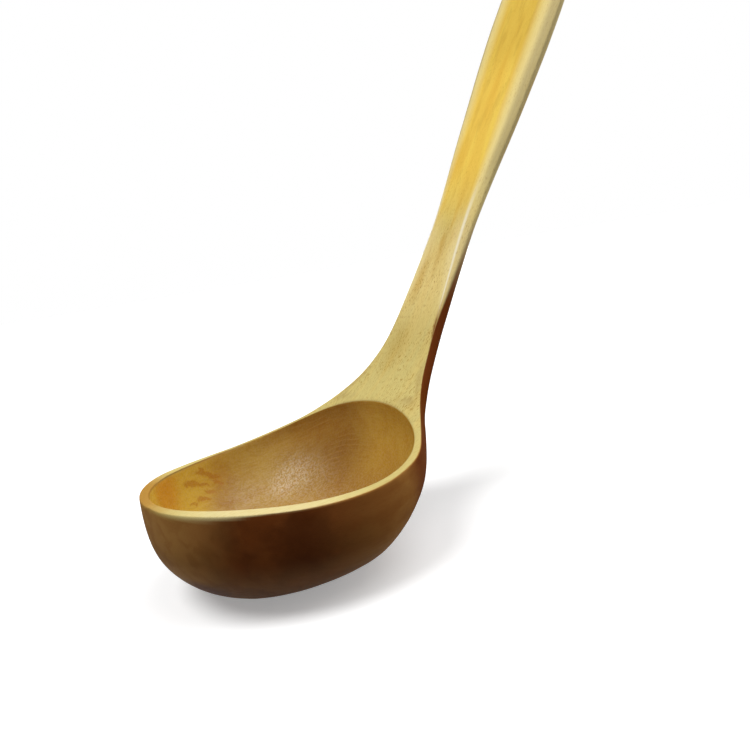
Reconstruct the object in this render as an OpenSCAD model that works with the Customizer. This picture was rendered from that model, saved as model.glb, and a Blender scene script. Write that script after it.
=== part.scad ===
// Soup ladle carved from one length of wood.
// The rim of the bowl lies level, the handle climbs away from it towards +X,
// and the origin is the middle of the flat sole under the bowl.
// Along the ladle, "s" is the distance measured on its top face from the middle
// of the hollow, and depths are measured square to that face.

/* [Hollow] */
// Length of the hollow at its rim, along the ladle
hollow_l = 84; // [76:1:92]
// Width of the hollow at its rim
hollow_w = 85; // [76:0.5:92]
// Extra fullness of the hollow on its handle side, in millimetres
hollow_fullness = 5; // [0:0.5:7]
// Depth of the hollow under its rim
hollow_d = 27.5; // [20:0.5:29]

/* [Bowl] */
// Width of the rim land beside the hollow
land_w = 3.1; // [2:0.1:5]
// Width of the rim land at the tip
land_tip_w = 2.5; // [1.8:0.1:4]
// Fall of the rim land from its inner to its outer edge
land_fall = 0.5; // [0.2:0.1:1.2]
// Depth of the bowl from its rim to its sole
bowl_d = 33; // [31:0.2:38]
// How far the outside swells past the rim's outer edge
bowl_swell = 2.1; // [0:0.1:3]
// Distance of the deepest place behind the middle of the hollow, towards the tip
keel_back = 5; // [2:0.5:10]
// Depth cut off the round underside to make the flat sole
sole_cut = 0.4; // [0.2:0.1:1]

/* [Neck] */
// Width of the neck at its narrowest
neck_w = 22; // [16:0.2:26]
// Thickness of the neck where it leaves the bowl
neck_t = 10.4; // [8:0.2:12]
// Distance from the middle of the hollow to the narrowest place
neck_s = 104; // [90:1:115]

/* [Handle] */
// Width of the handle at its widest
handle_w = 37.5; // [28:0.5:40]
// Thickness of the handle where it is thinnest, just above the neck
handle_t = 7.2; // [6:0.2:9]
// Thickness of the handle near its end
end_t = 9.4; // [6:0.2:11]
// Distance from the middle of the hollow to the widest place
wide_s = 224; // [205:1:232]
// Distance from the middle of the hollow to the handle's end
end_s = 262; // [245:1:280]
// Length of the rounded end
tail_round = 20; // [14:0.5:26]
// Depth of the soft round along the handle's upper edges
edge_round = 1.4; // [0.6:0.1:2.4]

/* [Bend] */
// Slope of the rim at the tip, in degrees
tip_slope = -2; // [-6:0.5:2]
// Slope of the rim where it dips from the tip to the middle, in degrees
dip_slope = -5.8; // [-9:0.2:0]
// Slope of the top face at the back of the hollow, in degrees
root_slope = 32; // [26:0.5:38]
// Slope of the straight handle, in degrees
handle_slope = 53.6; // [46:0.2:60]

/* [Hidden] */

hollow_a = hollow_l / 2;
hollow_b = hollow_w / 2;
egg = hollow_fullness / hollow_w * 2;

// Outline of the bowl at the rim: an ellipse round the hollow and its land
rim_shift = hollow_l * 13 / 420;
rim_a = hollow_a + land_tip_w + rim_shift;
rim_b = hollow_b + land_w;
tip_s = rim_shift - rim_a;

// Where the bowl and the handle meet
cut_s = neck_s * 15 / 26;

// The top face is a chain of arcs: distance along it, and its slope there
BEND = [
    [tip_s, tip_slope],
    [-hollow_a * 4 / 7, dip_slope],
    [0, 0],
    [hollow_a * 19 / 42, 0.35 * root_slope],
    [hollow_a * 6 / 7, root_slope],
    [neck_s / 2, lerp(root_slope, handle_slope, 0.28)],
    [neck_s * 9 / 13, lerp(root_slope, handle_slope, 0.84)],
    [neck_s * 95 / 104, handle_slope],
    [end_s, handle_slope],
];

// The outline behind the widest part of the bowl narrows to the neck, then widens up the handle.
// Each list holds the share of that stretch, and the share of the change in width by then.
flare_s = hollow_a / 3;
flare_l = neck_s - flare_s;
flare_b = rim_b * sqrt(1 - pow((flare_s - rim_shift) / rim_a, 2));
FLARE = [
    [0, 1], [0.11, 0.882], [0.22, 0.626], [0.33, 0.381],
    [0.455, 0.182], [0.62, 0.049], [0.8, 0.008], [1, 0],
];
WIDEN = [[0.14, 0], [0.3, 0.21], [0.47, 0.49], [0.69, 0.76], [0.82, 0.9], [1, 1]];
end_narrowing = 359 / 375;
tail_s = end_s - tail_round;
OUTLINE = concat(
    [for (f = FLARE) [flare_s + flare_l * f[0], lerp(neck_w / 2, flare_b, f[1])]],
    [for (f = WIDEN) [lerp(neck_s, wide_s, f[0]), lerp(neck_w, handle_w, f[1]) / 2]],
    [[end_s, end_narrowing * handle_w / 2]]
);

// Thickness under the top face: distance, and depth
KEEL = [
    [-keel_back, bowl_d],
    [hollow_a * 2 / 7, bowl_d * 31 / 33],
    [hollow_a * 13 / 21, lerp(neck_t, bowl_d, 0.6)],
    [hollow_a * 19 / 21, lerp(neck_t, bowl_d, 0.17)],
    [neck_s * 25 / 52, neck_t * 61 / 52],
    [neck_s * 31 / 52, neck_t],
    [neck_s * 10 / 13, lerp(neck_t, handle_t, 0.35)],
    [neck_s * 15 / 13, handle_t],
    [wide_s * 25 / 28, end_t],
    [end_s, end_t],
];

// How full the underside's cross section is, by distance: 2 is an ellipse, more is squarer
full_s = hollow_a * 5 / 42;
lean_s = hollow_a * 2 / 3;
neck_root_s = neck_s * 25 / 52;
FULLNESS = [[tip_s, 2.4], [full_s, 2.4], [lean_s, 1.95], [neck_root_s, 2.4], [end_s, 2.5]];
// How far the underside swells past the edge of the top face, by distance
SWELL = [
    [tip_s, bowl_swell], [full_s, bowl_swell], [lean_s, 0.3 * bowl_swell],
    [neck_root_s, 0], [end_s, 0],
];
// The edges of the top face go from crisp to softly rounded over this stretch
soften_s = neck_s * 85 / 104;
soften_l = neck_s * 45 / 104;
// The most that they fall, as a share of the thickness
most_fall = 0.45;
// Depth to which the rounded end thins
tail_middle = 0.4 * handle_t;
// How square the other curves are
edge_flatness = 7;
tail_flatness = 8;
tail_squareness = 2.3;
tip_fullness = 2.9;
tip_bluntness = 3.2;
side_crowding = 1.35;

// Curve of the hollow's wall, from its middle to its rim, at the tip and at the handle
HOLLOW_TIP = [2.8, 0.45];
HOLLOW_ROOT = [2, 0.85];

// Widths and turns smaller than this are not divided by
tiny = 0.01;

// Fineness of the carved surfaces
bowl_steps = 34;
flare_steps = 14;
handle_steps = 40;
tail_steps = 14;
top_steps = 12;
side_steps = 17;
land_steps = 3;
hollow_steps = 13;

function lerp(a, b, t) = a + (b - a) * t;
function ease(t) = let (u = min(1, max(0, t))) u * u * (3 - 2 * u);
function index(list, s, i = 0) =
    i >= len(list) - 2 || s < list[i + 1][0] ? i : index(list, s, i + 1);

// Slope of a smooth curve through a list of [distance, value] points
function tangent(list, i) =
    let (a = list[max(0, i - 1)], b = list[min(len(list) - 1, i + 1)])
    (b[1] - a[1]) / (b[0] - a[0]);

// Smooth curve through a list of [distance, value] points
function smooth(list, s, first = undef) =
    let (
        i = index(list, s),
        a = list[i],
        b = list[i + 1],
        w = b[0] - a[0],
        t = (s - a[0]) / w,
        ta = (i == 0 && !is_undef(first) ? first : tangent(list, i)) * w,
        tb = tangent(list, i + 1) * w
    )
    a[1] * (1 + 2 * t) * pow(1 - t, 2) + ta * t * pow(1 - t, 2)
    + b[1] * t * t * (3 - 2 * t) - tb * t * t * (1 - t);

// Straight lines through a list of [distance, value] points
function between(list, s) =
    let (i = index(list, s), a = list[i], b = list[i + 1])
    lerp(a[1], b[1], (s - a[0]) / (b[0] - a[0]));

// Slope of the top face, in degrees
function slope(s) = between(BEND, s);

// Step along one arc of the top face, from slope p to slope q
function arc_step(p, q, l) =
    abs(q - p) < tiny
    ? [l * cos(p), l * sin(p)]
    : l / ((q - p) * PI / 180) * [sin(q) - sin(p), cos(p) - cos(q)];

// Place of the top face in the side view, measured from its tip
function from_tip(s, i = 0, at = [0, 0]) =
    let (a = BEND[i], b = BEND[i + 1])
    i >= len(BEND) - 2 || s <= b[0]
    ? at + arc_step(a[1], slope(s), s - a[0])
    : from_tip(s, i + 1, at + arc_step(a[1], b[1], b[0] - a[0]));

top_zero = from_tip(0);
sole_z = bowl_d - sole_cut;
function top_face(s) = from_tip(s) - top_zero + [keel_back, sole_z];

// Point at distance s, offset y sideways and depth n under the top face
function place(s, y, n) =
    let (p = top_face(s), g = slope(s), m = lerp(tail_middle, n, thin_off(s)))
    [p[0] + m * sin(g), y, max(0, p[1] - m * cos(g))];

// Half width of the outline
rim_slope = -pow(rim_b / rim_a, 2) * (flare_s - rim_shift) / flare_b;
function round_off(s) =
    s <= tail_s ? 1
    : pow(max(0, 1 - pow((s - tail_s) / tail_round, tail_squareness)), 1 / tail_squareness);
function half_width(s) =
    s < flare_s
    ? rim_b * sqrt(max(0, 1 - pow((s - rim_shift) / rim_a, 2)))
    : smooth(OUTLINE, s, rim_slope) * round_off(s);

// Depth of the underside at the middle
function tip_off(s) =
    s >= -keel_back ? 1
    : let (t = (-keel_back - s) / (-keel_back - tip_s))
      pow(max(0, 1 - pow(t, tip_fullness)), 1 / tip_bluntness);
function depth(s) = s < -keel_back ? bowl_d * tip_off(s) : smooth(KEEL, s, 0);

// The rounded end thins towards the middle of the handle's thickness
function thin_off(s) =
    s <= tail_s ? 1 : sqrt(max(0, 1 - pow((s - tail_s) / tail_round, tail_flatness)));

// Fall of the outer edge under the top face
function edge_fall(s) =
    min(lerp(land_fall, edge_round, ease((s - soften_s) / soften_l)), most_fall * depth(s));

// Points of one cross section: over the top from one edge to the other, then back underneath
function over_top(s) =
    [for (k = [0:top_steps]) let (c = cos(180 * k / top_steps))
        [half_width(s) * c, edge_fall(s) * pow(abs(c), edge_flatness)]];
function underneath(s) =
    let (
        w = half_width(s),
        e = edge_fall(s),
        d = depth(s),
        p = 2 / between(FULLNESS, s),
        swell = between(SWELL, s) * min(1, w / hollow_b)
    )
    [for (j = [1:2 * side_steps - 1]) let (
        t = j <= side_steps ? j / side_steps : 2 - j / side_steps,
        g = 90 * pow(t, side_crowding),
        y = w * pow(cos(g), p) + swell * sin(2 * g)
    ) [j < side_steps ? -y : j > side_steps ? y : 0, e + (d - e) * pow(sin(g), p)]];
function section(s) = [for (q = concat(over_top(s), underneath(s))) place(s, q[0], q[1])];

// Distances at which the bowl's sections are taken, closer together near the tip
BOWL_S = concat(
    [for (i = [1:bowl_steps]) lerp(tip_s, flare_s, 1 - cos(90 * i / bowl_steps))],
    [for (i = [1:flare_steps]) lerp(flare_s, cut_s, i / flare_steps)]
);
HANDLE_S = concat(
    [for (i = [0:handle_steps]) lerp(cut_s, tail_s, i / handle_steps)],
    [for (i = [1:tail_steps - 1]) tail_s + tail_round * sin(90 * i / tail_steps)]
);

// Two faces between point i and i + 1 of two rings of n points
function strip(a, b, i, n, closed = true) =
    let (j = closed ? (i + 1) % n : i + 1)
    [[a + i, a + j, b + i], [a + j, b + j, b + i]];

// Edge of the hollow in direction g, seen from its middle on the top face
function rim_at(g) =
    let (
        t0 = atan2(sin(g) * hollow_a, cos(g) * hollow_b),
        t1 = rim_turn(g, t0),
        t2 = rim_turn(g, t1),
        t3 = rim_turn(g, t2)
    )
    [hollow_a * cos(t3), hollow_b * sin(t3) * (1 + egg * cos(t3))];
function rim_turn(g, t) = atan2(sin(g) * hollow_a, cos(g) * hollow_b * (1 + egg * cos(t)));

module bowl() {
    stations = len(BOWL_S);
    // Outer edge of the top face: the tip, one side, over the cut, and the other side
    edge = concat(
        [[tip_s, 0]],
        [for (s = BOWL_S) [s, half_width(s)]],
        [for (k = [1:top_steps - 1]) [cut_s, half_width(cut_s) * cos(180 * k / top_steps)]],
        [for (i = [stations - 1:-1:0]) [BOWL_S[i], -half_width(BOWL_S[i])]]
    );
    around = len(edge);
    rim = [for (e = edge) rim_at(atan2(e[1], e[0]))];
    fall = [for (e = edge)
        let (share = abs(e[1]) / max(tiny, half_width(e[0])))
        edge_fall(e[0]) * pow(min(1, share), edge_flatness)];
    land = [for (k = [land_steps:-1:1]) let (t = k / land_steps)
        [for (i = [0:around - 1]) let (p = lerp(rim[i], edge[i], t))
            place(p[0], p[1], (i == 0 ? land_fall / 2 : fall[i]) * t * t)]];
    hollow = [for (k = [0:hollow_steps - 1]) let (t = cos(90 * k / hollow_steps))
        [for (i = [0:around - 1]) let (
            c = lerp(HOLLOW_TIP, HOLLOW_ROOT, ease(rim[i][0] / hollow_a)),
            down = hollow_d * pow(1 - pow(t, c[0]), c[1])
        ) place(lerp(-keel_back, rim[i][0], t), rim[i][1] * t, down)]];
    under = [for (s = BOWL_S) [for (q = underneath(s)) place(s, q[0], q[1])]];
    keel = len(under[0]);
    rings = concat(land, hollow);
    points = concat(
        [for (r = rings) each r],
        [place(-keel_back, 0, hollow_d)],
        [for (u = under) each u]
    );
    deepest = (len(rings) - 1) * around;
    middle = len(rings) * around;
    below = middle + 1;
    near = function (i) 1 + i;
    far = function (i) around - 1 - i;
    last = stations - 1;
    faces = concat(
        [for (r = [0:len(rings) - 2], i = [0:around - 1])
            each strip(r * around, (r + 1) * around, i, around)],
        [for (i = [0:around - 1]) [deepest + i, deepest + (i + 1) % around, middle]],
        [for (i = [0:last - 1], j = [0:keel - 2])
            each strip(below + (i + 1) * keel, below + i * keel, j, keel, false)],
        [for (i = [0:last - 1]) each [
            [far(i), far(i + 1), below + i * keel],
            [far(i + 1), below + (i + 1) * keel, below + i * keel],
            [near(i), below + i * keel + keel - 1, near(i + 1)],
            [near(i + 1), below + i * keel + keel - 1, below + (i + 1) * keel + keel - 1]
        ]],
        [[0, far(0), below], [0, below + keel - 1, near(0)]],
        [for (j = [0:keel - 2]) [0, below + j, below + j + 1]],
        [concat(
            [for (j = [keel - 1:-1:0]) below + last * keel + j],
            [for (k = [top_steps:-1:0]) stations + k]
        )]
    );
    color("burlywood") polyhedron(points, faces, convexity = 6);
}

module handle() {
    rings = [for (s = HANDLE_S) section(s)];
    n = len(rings[0]);
    last = len(rings) - 1;
    tail = (last + 1) * n;
    points = concat([for (r = rings) each r], [place(end_s, 0, 0)]);
    faces = concat(
        [[for (i = [0:n - 1]) i]],
        [for (r = [0:last - 1], i = [0:n - 1]) each strip((r + 1) * n, r * n, i, n)],
        [for (i = [0:n - 1]) [tail, last * n + (i + 1) % n, last * n + i]]
    );
    color("burlywood") polyhedron(points, faces, convexity = 4);
}

bowl();
handle();
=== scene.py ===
import math

import bmesh
import bpy
import numpy as np
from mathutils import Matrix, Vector


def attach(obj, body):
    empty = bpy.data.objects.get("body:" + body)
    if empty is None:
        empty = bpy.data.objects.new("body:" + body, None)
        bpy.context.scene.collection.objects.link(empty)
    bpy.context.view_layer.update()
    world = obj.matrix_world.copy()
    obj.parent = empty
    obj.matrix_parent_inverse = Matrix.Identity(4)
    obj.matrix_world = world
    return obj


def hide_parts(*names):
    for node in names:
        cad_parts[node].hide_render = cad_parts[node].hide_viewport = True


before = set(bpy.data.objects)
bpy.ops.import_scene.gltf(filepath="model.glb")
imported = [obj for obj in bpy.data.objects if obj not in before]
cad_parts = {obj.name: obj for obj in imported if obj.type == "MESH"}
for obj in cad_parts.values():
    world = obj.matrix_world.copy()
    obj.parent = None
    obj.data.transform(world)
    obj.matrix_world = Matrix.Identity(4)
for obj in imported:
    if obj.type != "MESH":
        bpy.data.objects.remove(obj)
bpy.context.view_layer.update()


# The ladle. The real one is a single length of pale hardwood, carved with axe and knives: a level
# bowl, a neck that sweeps up out of it, and a flat handle that widens to its end. It is modelled
# as a straight blank, hollowed, and then bent along the line of its top face.
mm = 0.001
hollow_long = 84 * mm
hollow_wide = 85 * mm
hollow_deep = 27.5 * mm
hollow_fuller = 0.1176          # share by which it widens towards the handle
rim_long = 47.1 * mm            # half length of the bowl at the rim
rim_wide = 45.6 * mm            # half width of the bowl at the rim
rim_ahead = 2.6 * mm            # the rim's middle, ahead of the hollow's
bowl_deep = 33 * mm
deepest = -5 * mm               # the deepest place, behind the hollow's middle
sole_cut = 0.4 * mm             # sanded off the underside, so that the ladle stands
neck_wide = 22 * mm
neck_thick = 10.4 * mm
handle_wide = 37.5 * mm
handle_thin = 7.2 * mm
handle_thick = 9.4 * mm
end_narrower = 0.8 * mm         # how much each side draws in before the round end
tip_blunt = 0.05 * mm
arris = 0.35 * mm               # how far the outer arrises are eased
rim_arris = 0.5 * mm            # and the one round the hollow

# Places along the blank, from the middle of the hollow
tip = rim_ahead - rim_long + tip_blunt
flare_from = 14 * mm
root = 60 * mm
facet_from = 72 * mm
blend_from, blend_to = 66 * mm, 80 * mm     # where the land's rounding becomes a facet
narrowest = 104 * mm
widest = 224 * mm
tail = 242 * mm
end = 262 * mm

# The top face: its edges fall away a little on the land, and by a long facet on neck and handle
land_fall = 0.5 * mm
land_round = 7                  # how late its rounding sets in
end_facet = 5 * mm              # how far the facet reaches in from the end
fall_share = 0.45               # the most that an edge falls, as a share of the thickness
facet_bow = 1.1, 1.5            # how bowed the facet is at the neck, and along the handle
bow_from, bow_to = 120 * mm, 160 * mm
facet = [                       # (place, share of the half width that is flat, fall of the edge)
    (facet_from, 0.99, land_fall),
    (90 * mm, 0.92, 0.9 * mm),
    (105 * mm, 0.84, 1.7 * mm),
    (125 * mm, 0.78, 2.3 * mm),
    (170 * mm, 0.7, 2.6 * mm),
]

# How full the sections are: an oval is 2, and more is squarer
end_round = 2.3                 # of the handle's round end
end_edge = 8                    # of the end's own edge
tip_round = 2.9, 3.2            # of the bowl's underside towards the tip
underside_round = [(tip, 2.4), (5 * mm, 2.4), (28 * mm, 1.95), (50 * mm, 2.4), (end, 2.5)]
cheek = [(5 * mm, 2.1 * mm), (28 * mm, 0.63 * mm), (50 * mm, 0)]    # and extra on the bowl's sides
keel_crowd = 1.35               # crowds the points of a section towards its keel
end_middle = 0.4 * handle_thin  # how low the middle of the end's edge lies

# How close counts as the same: in metres, as a share of the rim's radius, and in degrees
touching, near = 1e-6, 1e-5
near_rim = 1e-3
near_turn = 0.1


def mix(a, b, t):
    return a + (b - a) * t


def eased(t):
    t = min(1, max(0, t))
    return t * t * (3 - 2 * t)


def over(x, low, high):
    """0 before low, 1 after high, and eased between them."""
    return eased((x - low) / (high - low))


def between(points, x):
    """Straight lines through a list of (place, value) points."""
    return float(np.interp(x, [p[0] for p in points], [p[1] for p in points]))


def smooth(points, x, first):
    """A smooth curve through a list of (place, value) points, which starts with the slope first."""
    places = [p[0] for p in points]
    values = [p[1] for p in points]
    i = min(max(int(np.searchsorted(places, x, side="right")) - 1, 0), len(points) - 2)
    slopes = []
    for k in (i, i + 1):
        a, b = max(0, k - 1), min(len(points) - 1, k + 1)
        slopes.append((values[b] - values[a]) / (places[b] - places[a]))
    if i == 0:
        slopes[0] = first
    wide = places[i + 1] - places[i]
    t = (x - places[i]) / wide
    return (values[i] * (1 + 2 * t) * (1 - t) ** 2 + slopes[0] * wide * t * (1 - t) ** 2
            + values[i + 1] * t * t * (3 - 2 * t) - slopes[1] * wide * t * t * (1 - t))


# Its outline from above: the bowl flares into the neck, and the neck widens into the handle. Each
# pair is a share of the way and a share of the difference in width.
flare_wide = rim_wide * math.sqrt(1 - ((flare_from - rim_ahead) / rim_long) ** 2)
flare_slope = -(rim_wide / rim_long) ** 2 * (flare_from - rim_ahead) / flare_wide
flare = [(0, 1), (0.11, 0.882), (0.22, 0.626), (0.33, 0.381), (0.455, 0.182),
         (0.62, 0.049), (0.8, 0.008), (1, 0)]
widening = [(0.14, 0), (0.3, 0.21), (0.47, 0.49), (0.69, 0.76), (0.82, 0.9), (1, 1)]
outline = [(mix(flare_from, narrowest, t), mix(neck_wide / 2, flare_wide, w)) for t, w in flare]
outline += [(mix(narrowest, widest, t), mix(neck_wide, handle_wide, w) / 2) for t, w in widening]
outline += [(end, handle_wide / 2 - end_narrower)]

# Its thickness from the side, at places from the deepest one to the end
keel = [
    (deepest, bowl_deep),
    (12 * mm, bowl_deep - 2 * mm),
    (26 * mm, mix(neck_thick, bowl_deep, 0.6)),
    (38 * mm, mix(neck_thick, bowl_deep, 0.17)),
    (50 * mm, neck_thick + 1.8 * mm),
    (62 * mm, neck_thick),
    (80 * mm, mix(neck_thick, handle_thin, 0.35)),
    (120 * mm, handle_thin),
    (200 * mm, handle_thick),
    (end, handle_thick),
]


def half_width(x):
    """Half the ladle's width across its top face."""
    if x < flare_from:
        return rim_wide * math.sqrt(max(0, 1 - ((x - rim_ahead) / rim_long) ** 2))
    rounding = (1 - max(0, (x - tail) / (end - tail)) ** end_round) ** (1 / end_round)
    return smooth(outline, x, flare_slope) * rounding


def depth(x):
    """How thick the ladle is under the middle of its top face."""
    if x < deepest:
        steep, blunt = tip_round
        return bowl_deep * (1 - ((deepest - x) / (deepest - tip)) ** steep) ** (1 / blunt)
    return smooth(keel, x, 0)


def select(kind, chosen):
    """Selects the vertices, edges or faces for which chosen(one) is true, and nothing else."""
    bpy.ops.mesh.select_mode(type={"verts": "VERT", "edges": "EDGE", "faces": "FACE"}[kind])
    bpy.ops.mesh.select_all(action="DESELECT")
    mesh = bmesh.from_edit_mesh(ladle.data)
    for one in getattr(mesh, kind):
        one.select = bool(chosen(one))
    mesh.select_flush_mode()
    bmesh.update_edit_mesh(ladle.data)


def move(place, all_points=False):
    """Moves each selected vertex, or every one, to place(vertex)."""
    mesh = bmesh.from_edit_mesh(ladle.data)
    for vertex in mesh.verts:
        if all_points or vertex.select:
            vertex.co = place(vertex)
    bmesh.update_edit_mesh(ladle.data)


# The blank starts as a ring at the tip, and is drawn out station by station to its end
ring_points = 48
bowl_places = [rim_ahead - rim_long * math.cos(math.radians(3 * k)) for k in range(1, 34)]
flare_places = [mix(flare_from, root, k / 14) for k in range(15)]
handle_places = [mix(root, tail, k / 36) for k in range(1, 37)]
tail_places = [mix(tail, end, math.sin(math.radians(90 * k / 12))) for k in range(1, 12)]
places = bowl_places + flare_places + handle_places + tail_places

bpy.ops.object.select_all(action="DESELECT")
bpy.ops.mesh.primitive_circle_add(
    vertices=ring_points, radius=1, fill_type="NGON", rotation=(math.pi / 2, 0, math.pi / 2))
ladle = bpy.context.object
ladle.name = "carved_ladle"
bpy.ops.object.transform_apply(location=False, rotation=True, scale=True)
bpy.ops.object.mode_set(mode="EDIT")
bpy.ops.transform.resize(value=(1, half_width(places[0]), depth(places[0])), center_override=(0, 0, 0))
bpy.ops.transform.translate(value=(places[0], 0, 0))
for last, place in zip(places, places[1:]):
    wider, deeper = half_width(place) / half_width(last), depth(place) / depth(last)
    bpy.ops.mesh.extrude_region_move(TRANSFORM_OT_translate={"value": (place - last, 0, 0)})
    bpy.ops.transform.resize(value=(1, wider, deeper), center_override=(place, 0, 0))

# Over the bowl its upper half comes off, and the cut at the tip closes to a point
select("faces", lambda f: f.calc_center_median().z > 0 and f.calc_center_median().x < root)
bpy.ops.mesh.delete(type="FACE")
select("verts", lambda v: v.co.x < places[0] + near and v.co.z > near)
bpy.ops.mesh.merge(type="CENTER")


def fall(x):
    """How far the edges of the top face lie below its middle."""
    return min(between([(place, down) for place, share, down in facet], x), fall_share * depth(x))


def on_facet(x, out):
    """0 where the flat of the top face ends, 1 at its edge, for a share out of its half width."""
    flat = between([(place, share) for place, share, down in facet], x)
    return max((min(out, 1) - flat) / (1 - flat), 1 - (end - x) / end_facet)


def crown(x, out):
    """How far the top face lies below its middle at a share out of its half width."""
    rounded = min(out, 1) ** land_round
    bowed = max(0, on_facet(x, out)) ** mix(*facet_bow, over(x, bow_from, bow_to))
    return fall(x) * mix(rounded, bowed, over(x, blend_from, blend_to))


def carved(v):
    """The place of a vertex of the round blank once its top is flat and its underside full.

    Round the section, in degrees, the edges of the top face are at 0 and -180, and the keel at -90.
    """
    x = v.co.x
    w, d = half_width(x), depth(x)
    turn = math.degrees(math.atan2(v.co.z / d, v.co.y / w))
    if x < places[0] + near and turn > 1:
        return Vector((tip, 0, -land_fall / 2))
    thin = math.sqrt(1 - max(0, (x - tail) / (end - tail)) ** end_edge)
    if turn > -near_turn or turn < near_turn - 180:
        y = w * (1 - abs(turn) / 90)
        return Vector((x, y, -mix(end_middle, crown(x, abs(y / w)), thin)))
    off_keel = abs(turn + 90)
    around = math.radians(90 * (1 - off_keel / 90) ** keel_crowd)
    power = 2 / between(underside_round, x)
    fuller = between(cheek, x) * min(1, w / (hollow_wide / 2))
    y = w * math.cos(around) ** power + fuller * math.sin(2 * around)
    z = fall(x) + (d - fall(x)) * math.sin(around) ** power
    aside = 0 if off_keel < near_turn else math.copysign(y, v.co.y)
    return Vector((x, aside, -mix(end_middle, z, thin)))


move(carved, all_points=True)

# The open top is filled, and the rim of the hollow is drawn in from its outline
bpy.ops.mesh.select_mode(type="EDGE")
bpy.ops.mesh.select_all(action="DESELECT")
bpy.ops.mesh.select_non_manifold()
bpy.ops.mesh.edge_face_add()
bpy.ops.mesh.select_mode(type="FACE")
bpy.ops.mesh.extrude_region_move()
bpy.ops.transform.tosphere(value=1, center_override=(0, 0, 0))
radius = max(v.co.length for v in bmesh.from_edit_mesh(ladle.data).verts if v.select)
oval = (hollow_long / 2 / radius, hollow_wide / 2 / radius, 0)
bpy.ops.transform.resize(value=oval, center_override=(0, 0, 0))


def widened(v):
    return Vector((v.co.x, v.co.y * (1 + hollow_fuller * v.co.x / (hollow_long / 2)), 0))


move(widened)

# The hollow goes down from the rim in rings that close on its deepest place. Its wall is steep and
# blunt at the tip, and slopes more towards the handle.
rings = 13
wall_steep = 2.8, 2
wall_blunt = 0.45, 0.85


def sunk(v):
    """The place of a vertex of the ring that lies at share of the way out to the rim."""
    ahead = eased((deepest + (v.co.x - deepest) / share) / (hollow_long / 2))
    down = (1 - share ** mix(*wall_steep, ahead)) ** mix(*wall_blunt, ahead)
    return Vector((v.co.x, v.co.y, -hollow_deep * down))


last = 1
for k in range(1, rings):
    share = math.cos(math.radians(90 * k / rings))
    bpy.ops.mesh.extrude_region_move()
    bpy.ops.transform.resize(value=(share / last, share / last, 1), center_override=(deepest, 0, 0))
    move(sunk)
    last = share
bpy.ops.mesh.merge(type="CENTER")
move(lambda v: Vector((deepest, 0, -hollow_deep)))


def from_rim(x, y):
    """0 on the rim of the hollow, more outside it and less inside it, as a share of its radius."""
    ahead, aside = x / (hollow_long / 2), y / (hollow_wide / 2)
    return math.hypot(ahead, aside / max(0.5, 1 + hollow_fuller * ahead)) - 1


def on_rim(v):
    return abs(from_rim(v.co.x, v.co.y)) < near_rim and abs(v.co.z) < touching


def across_land(e):
    """True for an edge that runs outwards from the rim of the hollow."""
    ends = sorted(e.verts, key=on_rim)
    return from_rim(ends[0].co.x, ends[0].co.y) > near_rim and on_rim(ends[1])


def on_arris(v):
    """True at the tip's point, and along the edge of the top face up to the round end."""
    if v.co.x <= places[0] - touching:
        return True
    if v.co.x > tail:
        return False
    return abs(abs(v.co.y) - half_width(v.co.x)) < touching and abs(v.co.z + fall(v.co.x)) < touching


# The rim land is cut into three strips, and its arrises and those of the handle are eased
select("edges", across_land)
bpy.ops.mesh.subdivide_edgering(number_cuts=2, interpolation="LINEAR")
select("edges", lambda e: on_arris(e.verts[0]) and on_arris(e.verts[1]))
bpy.ops.mesh.bevel(offset=arris, segments=2, affect="EDGES")
select("edges", lambda e: on_rim(e.verts[0]) and on_rim(e.verts[1]))
bpy.ops.mesh.bevel(offset=rim_arris, segments=2, affect="EDGES")
bpy.ops.mesh.select_all(action="SELECT")
bpy.ops.mesh.normals_make_consistent(inside=False)
bpy.ops.object.mode_set(mode="OBJECT")

subdivision = ladle.modifiers.new("smooth carving", "SUBSURF")
subdivision.levels = subdivision.render_levels = 1
bpy.ops.object.modifier_apply(modifier=subdivision.name)

# Kept for the wood, whose fibres follow the bend: each point's place in the straight blank in
# millimetres, and how far it is in the hollow, on the pale top face, and out across the facet.
# The pale wood reaches down over the arrises, wider at the tip and along the handle.
shell_round = 2.4
half_wall = 3 * mm              # points of the hollow lie deeper than this inside the outer shell
least_width = 0.1 * mm
neck_side = 45 * mm             # from here on, the middle of the top face is pale however it dips
dip_share = 0.3                 # as long as it dips by less than this share of the thickness
worn_land, worn_neck, worn_handle, worn_tip = 0.35 * mm, 1.6 * mm, 2.5 * mm, 1.5 * mm
off_facet = -2
flat = np.empty(3 * len(ladle.data.vertices), np.float32)
ladle.data.vertices.foreach_get("co", flat)
flat = flat.reshape(-1, 3)
finishes = np.empty_like(flat)
for k, (x, y, z) in enumerate(flat.astype(float)):
    x = min(max(x, tip), end - touching)
    w, d, under = max(half_width(x), least_width), depth(x), -z
    out = abs(y) / w
    shell = fall(x) + (d - fall(x)) * max(0, 1 - min(out, 1) ** shell_round) ** (1 / shell_round)
    inside = from_rim(x, y) < 0 and under < shell - half_wall
    below = max(0, under - crown(x, out))
    if x > neck_side and under < dip_share * d:
        below *= over(out, 0.8, 0.96)
    worn = mix(worn_land, worn_neck, over(x, 74 * mm, 94 * mm))
    worn += worn_handle * over(x, 105 * mm, 140 * mm) + worn_tip * over(-x, 25 * mm, 41 * mm)
    pale = 1 if inside else 1 - eased(below / worn)
    finishes[k] = inside, pale, on_facet(x, out) if x > facet_from else off_facet
for name, values in (("blank", flat / mm), ("finish", finishes)):
    kept = ladle.data.attributes.new(name, "FLOAT_VECTOR", "POINT")
    kept.data.foreach_set("vector", values.ravel())

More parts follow.
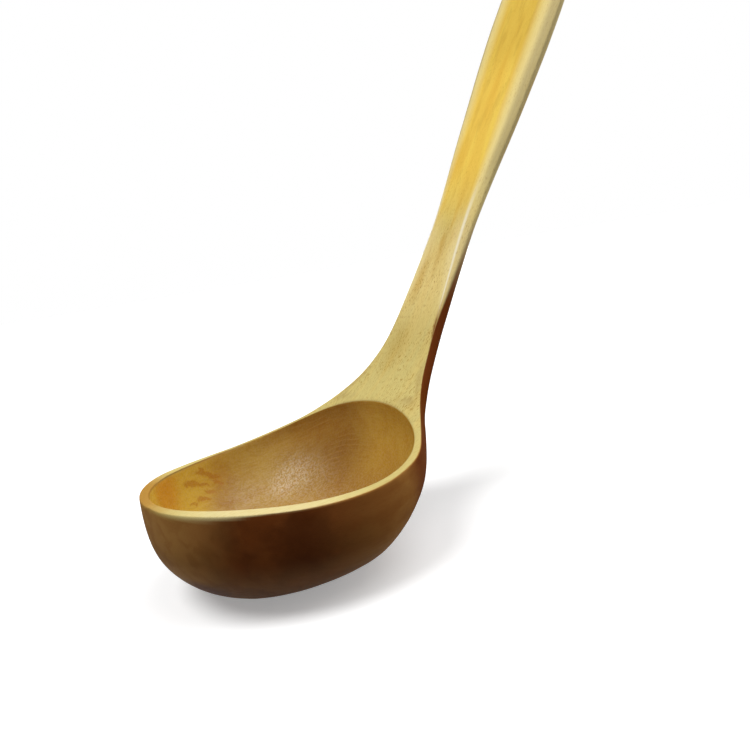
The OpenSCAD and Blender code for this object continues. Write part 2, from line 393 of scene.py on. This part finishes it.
# The line of the top face is a chain of arcs: a place along it, and its slope there in degrees
root_climb, climb = 32, 53.6
bend = [
    (tip, -2),
    (-24 * mm, -5.8),
    (0, 0),
    (19 * mm, 11.2),
    (36 * mm, root_climb),
    (52 * mm, mix(root_climb, climb, 0.28)),
    (72 * mm, mix(root_climb, climb, 0.84)),
    (95 * mm, climb),
    (end, climb),
]
line = [Vector((0, 0, 0))]
for (a, p), (b, q) in zip(bend, bend[1:]):
    p, q, length = math.radians(p), math.radians(q), b - a
    if p == q:
        step = Vector((math.cos(p), 0, math.sin(p))) * length
    else:
        step = Vector((math.sin(q) - math.sin(p), 0, math.cos(p) - math.cos(q))) * length / (q - p)
    line.append(line[-1] + step)
middle = line[2].copy()         # the third place, the middle of the hollow
path = bpy.data.curves.new("line of the top face", "CURVE")
path.dimensions = "3D"
path.resolution_u = 64
path.twist_mode = "Z_UP"
path.use_deform_bounds = True
spline = path.splines.new("BEZIER")
spline.bezier_points.add(len(bend) - 1)
for k, (point, (place, slope)) in enumerate(zip(spline.bezier_points, bend)):
    point.co = line[k] - middle + Vector((-deepest, 0, bowl_deep - sole_cut))
    ahead = Vector((math.cos(math.radians(slope)), 0, math.sin(math.radians(slope))))
    before = bend[max(k - 1, 0)][0]
    after = bend[min(k + 1, len(bend) - 1)][0]
    point.handle_left = point.co - ahead * (place - before) / 3
    point.handle_right = point.co + ahead * (after - place) / 3
bend_line = bpy.data.objects.new("line of the top face", path)
bpy.context.scene.collection.objects.link(bend_line)
bending = ladle.modifiers.new("bend", "CURVE")
bending.object = bend_line
bending.deform_axis = "POS_X"
bpy.ops.object.modifier_apply(modifier=bending.name)
bpy.data.objects.remove(bend_line)

# The round underside is sanded flat where it stands
bpy.ops.object.mode_set(mode="EDIT")
bpy.ops.mesh.select_all(action="SELECT")
bpy.ops.mesh.bisect(
    plane_co=(0, 0, 0), plane_no=(0, 0, 1), clear_inner=True, use_fill=True, threshold=1e-7)
bpy.ops.object.mode_set(mode="OBJECT")
bpy.ops.object.shade_smooth_by_angle(angle=math.radians(40))
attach(ladle, "root")
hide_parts("bowl", "handle")
bpy.context.view_layer.update()


class Tone:
    """A value or colour in a material. Arithmetic on values adds the Math nodes that work it out.

    In a Mix node of colours, socket 0 is the share, 6 and 7 are the colours, and output 2 is the result.
    """

    def __init__(self, socket):
        self.socket = socket

    def node(self, kind, settings, sockets, output=0):
        """Adds a node of this kind beside this value, and returns one of its outputs."""
        tree = self.socket.id_data
        made = tree.nodes.new("ShaderNode" + kind)
        for name, value in settings.items():
            setattr(made, name, value)
        for name, value in sockets.items():
            if isinstance(value, Tone):
                tree.links.new(value.socket, made.inputs[name])
            else:
                made.inputs[name].default_value = value
        return Tone(made.outputs[output])

    def into(self, socket):
        """Links this value to a socket of the shader."""
        self.socket.id_data.links.new(self.socket, socket)

    def maths(self, operation, other=0.0):
        return self.node("Math", {"operation": operation}, {0: self, 1: other})

    def __add__(self, other):
        return self.maths("ADD", other)

    def __sub__(self, other):
        return self.maths("SUBTRACT", other)

    def __mul__(self, other):
        return self.maths("MULTIPLY", other)

    def __rsub__(self, other):
        return self.node("Math", {"operation": "SUBTRACT"}, {0: other, 1: self})

    __radd__ = __add__
    __rmul__ = __mul__

    def step(self, low, high):
        """0 below low, 1 above high, and eased between; the other way round if low is above high."""
        return self.node("MapRange", {"interpolation_type": "SMOOTHSTEP"}, {0: self, 1: low, 2: high})

    def within(self, low, full, still, gone):
        """0 below low, 1 from full to still, 0 above gone, and eased between them."""
        return self.step(low, full) * self.step(gone, still)

    def stretched(self, x, y, z):
        return self.node("VectorMath", {"operation": "MULTIPLY"}, {0: self, 1: (x, y, z)})

    def noise(self, scale, detail, roughness, distortion=0.0, output="Fac"):
        return self.node("TexNoise", {}, {"Vector": self, "Scale": scale, "Detail": detail,
                                          "Roughness": roughness, "Distortion": distortion}, output)

    def spot(self, place, size, soft, turn=0):
        """1 in an oval of that place, half size, softness and turn in degrees, and 0 outside it."""
        oval = self.node("Mapping", {"vector_type": "TEXTURE"}, {
            "Vector": self, "Location": place, "Rotation": (0, math.radians(turn), 0), "Scale": size})
        far = oval.node("VectorMath", {"operation": "LENGTH"}, {0: oval}, "Value")
        return far.step(1 + soft, 1 - soft)

    def blend(self, first, second):
        """The first colour where this value is 0, and the second where it is 1."""
        return self.node("Mix", {"data_type": "RGBA"}, {0: self, 6: first, 7: second}, 2)

    def towards(self, colour, share):
        """This colour, changed to another by that share."""
        return share.blend(self, colour)

    def times(self, colour, share):
        """This colour, multiplied by another by that share."""
        settings = {"data_type": "RGBA", "blend_type": "MULTIPLY"}
        return self.node("Mix", settings, {0: share, 6: self, 7: colour}, 2)


def srgb(red, green, blue):
    """A colour as a picture shows it, 0 to 255, as the shader reads it."""
    return tuple(((c / 255 + 0.055) / 1.055) ** 2.4 for c in (red, green, blue)) + (1.0,)


# The wood is oiled and unvarnished. All places and sizes below are millimetres in the straight
# blank: along it from the middle of the hollow, across it, and up from its top face.
wood = bpy.data.materials.new("oiled wood")
wood.use_nodes = True
shader = wood.node_tree.nodes["Principled BSDF"]
start = Tone(shader.inputs["Base Color"])
blank = start.node("Attribute", {"attribute_name": "blank"}, {}, "Vector")
finish = start.node("Attribute", {"attribute_name": "finish"}, {}, "Vector")
along, across, up = (blank.node("SeparateXYZ", {}, {0: blank}, k) for k in range(3))
hollow, top, bevelled = (blank.node("SeparateXYZ", {}, {0: finish}, k) for k in range(3))

# Figure of the wood itself: broad bands, streaks, fine fibres, open pores and a slow change of tint
bands = blank.stretched(0.02, 0.2, 0.2).noise(1, 1.5, 0.5, 0.4)
streaks = blank.stretched(0.05, 0.26, 0.26).noise(1, 3, 0.6, 0.3)
fibres = blank.stretched(0.2, 3.2, 3.2).noise(1, 3, 0.65)
pores = blank.stretched(0.7, 2.5, 2.5).noise(1, 2, 0.55).step(0.54, 0.68)
tint = blank.noise(0.06, 3, 0.6)

# The top face is a pale straw colour at the rim and the neck, and goes golden up the handle
straw, gold, painted_highlight_cream = srgb(209, 193, 124), srgb(255, 218, 98), srgb(250, 230, 158)
neck_cream, honey, deep_honey = srgb(236, 214, 142), srgb(218, 172, 72), srgb(240, 184, 70)
shade_high_up, shade_at_rim = srgb(240, 238, 230), srgb(243, 243, 245)
light_smudge, painted_shade_patch = srgb(250, 230, 200), srgb(232, 206, 176)
tip_amber, painted_front_highlight = srgb(176, 124, 46), srgb(224, 210, 160)
up_handle = along.step(100, 150)
face = up_handle.blend(straw, gold)
face = face.towards(neck_cream, along.within(66, 96, 105, 125))
face = face.towards(honey, streaks.step(0.5, 0.68) * along.step(92, 112) * 0.35)
face = face.towards(deep_honey, bands.step(0.38, 0.66) * (0.1 + 0.24 * up_handle))
face = face.times(shade_high_up, along.step(182, 206))
face = face.times(light_smudge, blank.spot((186, -1, 0), (14, 3.4, 9), 0.8) * 0.35)
# A darker patch on the handle's face is painted shade
face = face.times(painted_shade_patch, blank.spot((149, 8, 0), (10, 4, 9), 0.8) * 0.5)
face = face.times(shade_at_rim, along.within(-16, 6, 26, 46))
face = face.towards(tip_amber, blank.spot((-44, 19, 0), (17, 24, 9), 0.6) * 0.85)
# A painted highlight lies on the land at the front, towards the tip
face = face.towards(painted_front_highlight, blank.spot((-26, -33, 0), (21, 21, 9), 0.6) * 0.7)

# A painted highlight makes its facet paler where it begins, and it is duller towards the arris
facet_straw, facet_grey = srgb(222, 194, 120), srgb(206, 187, 132)
face = face.towards(painted_highlight_cream, bevelled.step(-1.0, 0.3) * along.step(108, 132) * 0.9)
face = face.towards(facet_straw, bevelled.step(0.1, 0.45) * along.within(72, 82, 106, 126) * 0.9)
face = face.towards(facet_grey, bevelled.step(0.15, 0.7) * along.step(120, 150) * 0.85)

# Brown stains sit in the neck, and the open pores are darkest there
stain_brown, fibre_shade, pore_brown = srgb(226, 196, 136), srgb(232, 220, 190), srgb(190, 146, 74)
stain = blank.spot((96, 5.2, 0), (9, 2, 9), 0.9) + blank.spot((108, -1, 0), (9, 1.6, 9), 0.9)
stain = stain * 0.8 + blank.spot((66, 4, 0), (10, 4, 9), 0.8) * 0.6
face = face.times(stain_brown, stain * 0.6)
face = face.times(fibre_shade, fibres.step(0.44, 0.66) * (0.45 - 0.25 * up_handle))
open_pores = 0.3 + 0.45 * tint.step(0.42, 0.62) + 0.4 * stain
face = face.times(pore_brown, pores * open_pores * (1 - 0.7 * up_handle) * along.step(22, 44))

# Painted highlight: a bright line along the edge of the neck's facet, and a softer one beside it
painted_glow_beside_ridge, painted_ridge_highlight = srgb(246, 230, 172), srgb(255, 247, 218)
face = face.towards(painted_glow_beside_ridge, bevelled.step(-3.2, -0.6) * along.within(76, 90, 112, 130) * 0.45)
ridge = bevelled.within(-0.45, -0.05, 0.05, 0.35) * along.within(76, 90, 116, 140)
face = face.towards(painted_ridge_highlight, ridge * 0.8)

# The outside is painted a darker brown than its wood, as painted shade, on the bowl and the neck's
# sides;
# it is painted paler, olive and tan, at the tip and underneath as painted light, and pale on the
# handle's sides
umber, dark_umber, tan = srgb(112, 61, 25), srgb(88, 46, 18), srgb(172, 120, 60)
russet, olive, low_tan = srgb(110, 49, 15), srgb(172, 127, 68), srgb(206, 152, 86)
plum, band_shade, neck_brown = srgb(150, 100, 96), srgb(214, 190, 158), srgb(124, 62, 27)
side_cream, side_band, fibre_tint = srgb(255, 234, 172), srgb(226, 186, 122), srgb(232, 220, 204)
outside = tint.step(0.36, 0.64).blend(umber, dark_umber)
outside = outside.towards(tan, along.step(-19, 14) * (0.62 + 0.3 * tint.step(0.4, 0.6)))
outside = outside.towards(russet, along.step(12, 22) * 0.85)
outside = outside.towards(olive, along.step(-31, -49) * (0.78 + 0.22 * up.step(-30, -4)))
outside = outside.towards(low_tan, up.step(-14, -22) * (0.24 + 0.44 * along.step(-34, -42)))
outside = outside.times(plum, blank.spot((-36, -12, -25), (8, 7, 3.5), 0.6) * 0.7)
outside = outside.times(band_shade, bands.step(0.42, 0.64) * 0.35)
outside = outside.towards(neck_brown, along.step(44, 60))
outside = outside.towards(side_cream, along.step(84, 136))
outside = outside.times(side_band, bands.step(0.4, 0.62) * along.step(90, 140) * 0.35)
outside = outside.times(fibre_tint, fibres.step(0.44, 0.66) * 0.3)

# The hollow is golden at the tip, and browner over its floor and towards the handle
yellow_ochre, tan_ochre = srgb(219, 184, 76), srgb(196, 161, 78)
floor_brown, far_brown, low_brown = srgb(172, 134, 72), srgb(156, 115, 50), srgb(134, 96, 41)
near_ochre, green_ochre, amber = srgb(184, 145, 60), srgb(166, 140, 80), srgb(212, 148, 44)
streak_shade, smear = srgb(232, 208, 164), srgb(222, 180, 128)
ochre = (along + 6 * tint).step(-18, 8).blend(yellow_ochre, tan_ochre)
ochre = ochre.towards(floor_brown, up.step(-8, -19) * along.step(-22, -4) * 0.9)
ochre = ochre.towards(far_brown, along.step(6, 32) * across.step(-8, 16))
ochre = ochre.towards(low_brown, along.step(8, 26) * up.step(-5, -13) * 0.8)
ochre = ochre.towards(near_ochre, along.step(13, 36) * across.step(16, -8))
ochre = ochre.towards(green_ochre, blank.spot((10, 30, -17), (15, 16, 12), 0.7) * 0.6)
ochre = ochre.towards(amber, blank.spot((-29, 27, -5), (8, 7, 9), 0.6) * 0.7)
ochre = ochre.times(streak_shade, streaks.step(0.4, 0.62) * 0.3)
cloudy = blank.noise(0.2, 3, 0.6).step(0.35, 0.6)
ochre = ochre.times(smear, blank.spot((-4, 39, -11), (4, 9, 9), 0.8, 12) * cloudy * 0.5)

# Faint arcs and hairlines left by the scraper run round its deepest place
arc_light, scrape_shade = srgb(204, 164, 96), srgb(226, 206, 172)
east = along - deepest / mm
polar = across.maths("ARCTAN2", east)
reach = (east * east + across * across).maths("SQRT")
arc = (reach * 5 + blank.noise(0.05, 2, 0.5) * 16).maths("SINE")
arcs = arc.step(0.4, 1) * along.step(2, 16) * across.step(-6, 8) * streaks.step(0.36, 0.6)
ochre = ochre.towards(arc_light, arcs * blank.noise(0.12, 2, 0.5).step(0.42, 0.6) * 0.13)
scraped = polar.node("CombineXYZ", {}, {0: polar * 9, 1: reach * 3, 2: up * 1.2}).noise(1, 3, 0.7)
ochre = ochre.times(scrape_shade, scraped.step(0.42, 0.64) * 0.3)

# A small brown knot figure shows in its far wall, in patches of ragged outline, and a dark line
# under the rim at the tip
knot_brown, rim_shadow = srgb(178, 112, 28), srgb(150, 84, 46)
drift = 2.2                     # how far the ragged outline carries a patch
ragged = blank.noise(0.34, 3, 0.62, 0.4, "Color")
ragged = ragged.node("VectorMath", {"operation": "MULTIPLY_ADD"}, {
    0: ragged, 1: (2 * drift, 0, 2 * drift), 2: blank})
knot = 0
for place, size, turn in (
    ((-16.3, 36, -6.7), (3.7, 20, 1.25), 20),
    ((-9, 36, -6), (5.8, 20, 1.15), 29),
    ((-10.6, 36, -3.4), (1.5, 20, 1.5), 0),
    ((-11.6, 36, -8.6), (2.2, 20, 0.55), 20),
    ((-5.4, 36, -10), (2.6, 20, 0.5), 26),
    ((-9.9, 36, -11.7), (2.6, 20, 0.5), 24),
    ((-13.4, 36, -13), (3, 20, 0.7), 18),
    ((-17.8, 36, -12.9), (1.7, 20, 0.45), 10),
):
    place = (place[0] + drift, place[1], place[2] + drift)
    knot = ragged.spot(place, size, 0.35, turn).maths("MAXIMUM", knot)
inner = ochre.towards(knot_brown, knot * across.step(10, 20) * 0.62)
inner = inner.times(rim_shadow, blank.spot((-29.5, 27, -11.6), (4.5, 4, 0.8), 0.6, 12) * 0.8)

# The three come together, with a warm line where the pale wood of the land meets the outside
edge_brown = srgb(176, 108, 40)
edge = top * (1 - top) * along.within(-26, -6, 24, 36)
base = outside.towards(face, top).towards(inner, hollow).towards(edge_brown, edge * 2.6)
base.into(shader.inputs["Base Color"])

# A satin sheen is left in the hollow, broken up by the tool marks, and a little under the bowl
sparkle = blank.noise(1.6, 1, 0.5).step(0.36, 0.66)
sheen_hollow = hollow * (0.14 + 0.86 * sparkle) * (1 - 0.6 * along.step(15, 28))
sheen_under = (1 - hollow) * (1 - top) * along.step(50, 20) * (0.05 + 0.22 * up.step(-12, -30))
(sheen_hollow + up_handle * top * 0.08 + sheen_under).into(shader.inputs["Coat Weight"])
grain = fibres * 0.6 + scraped * hollow + (1 - pores) * 0.3
relief = grain.node("Bump", {}, {"Height": grain, "Strength": 0.25, "Distance": 0.1 * mm})
relief.into(shader.inputs["Normal"])
shader.inputs["Coat Roughness"].default_value = 0.37
shader.inputs["Roughness"].default_value = 0.5
shader.inputs["Specular IOR Level"].default_value = 0
ladle.data.materials.clear()
ladle.data.materials.append(wood)


# The floor is a plain sheet of white paper that runs out of sight. The camera, gloss and glass see
# it white; to all other light it is grey, so that it throws little light up at the bowl.
floor_grey, floor_white = (0.16, 0.16, 0.16, 1), (0.9, 0.9, 0.9, 1)
no_glow, paper_glow = (0, 0, 0, 1), (0.3, 0.3, 0.3, 1)


def shows_background(beside):
    """1 for rays of the camera, of gloss and of glass, and 0 for those that light the object."""
    shown = 0
    for ray in ("Is Camera Ray", "Is Glossy Ray", "Is Transmission Ray"):
        shown = beside.node("LightPath", {}, {}, ray).maths("MAXIMUM", shown)
    return shown


bpy.ops.mesh.primitive_plane_add(size=40, location=(0, 0, 0))
floor = bpy.context.object
floor.name = "floor"
paper = bpy.data.materials.new("white paper")
paper.use_nodes = True
shader = paper.node_tree.nodes["Principled BSDF"]
seen = shows_background(Tone(shader.inputs["Base Color"]))
seen.blend(floor_grey, floor_white).into(shader.inputs["Base Color"])
seen.blend(no_glow, paper_glow).into(shader.inputs["Emission Color"])
shader.inputs["Emission Strength"].default_value = 1
shader.inputs["Roughness"].default_value = 0.9
shader.inputs["Specular IOR Level"].default_value = 0
floor.data.materials.append(paper)


# The light is a soft studio's: a wide lamp above on the camera's left, a weaker one above on its
# right, a low one from the right that reaches under the bowl, and a faint one overhead. The world
# behind is white.
def lamp(name, strength, spread, towards):
    """A lamp as bright and wide, in degrees, as that, which shines from the way towards."""
    data = bpy.data.lights.new(name, "SUN")
    data.energy = strength
    data.angle = math.radians(spread)
    made = bpy.data.objects.new(name, data)
    made.rotation_euler = Vector(towards).to_track_quat("Z", "Y").to_euler()
    bpy.context.scene.collection.objects.link(made)


lamp("key lamp", 2.15, 36, (-0.45, 0.05, 0.89))
lamp("side lamp", 1.35, 50, (0.34, -0.3, 0.88))
lamp("low lamp", 0.85, 40, (0.75, -0.6, 0.3))
lamp("top lamp", 0.25, 120, (0, 0, 1))

world_light = 0.06              # how much the world adds to the light on the object
world = bpy.data.worlds.new("studio")
world.use_nodes = True
bpy.context.scene.world = world
background = world.node_tree.nodes["Background"]
background.inputs["Color"].default_value = (1, 1, 1, 1)
seen = shows_background(Tone(background.inputs["Strength"]))
(seen * (1 - world_light) + world_light).into(background.inputs["Strength"])

# The camera looks as the photograph does, with its place and turn fitted to the rim and the neck.
camera = bpy.data.objects.new("camera", bpy.data.cameras.new("camera"))
camera.location = (-0.09735, -0.18828, 0.09261)
camera.rotation_euler = [math.radians(a) for a in (80.305, 9.497, -39.296)]
camera.data.lens = 32.597
camera.data.sensor_width = 36
camera.data.clip_start = 0.01
bpy.context.scene.collection.objects.link(camera)
bpy.context.scene.camera = camera
bpy.context.scene.view_settings.view_transform = "Standard"
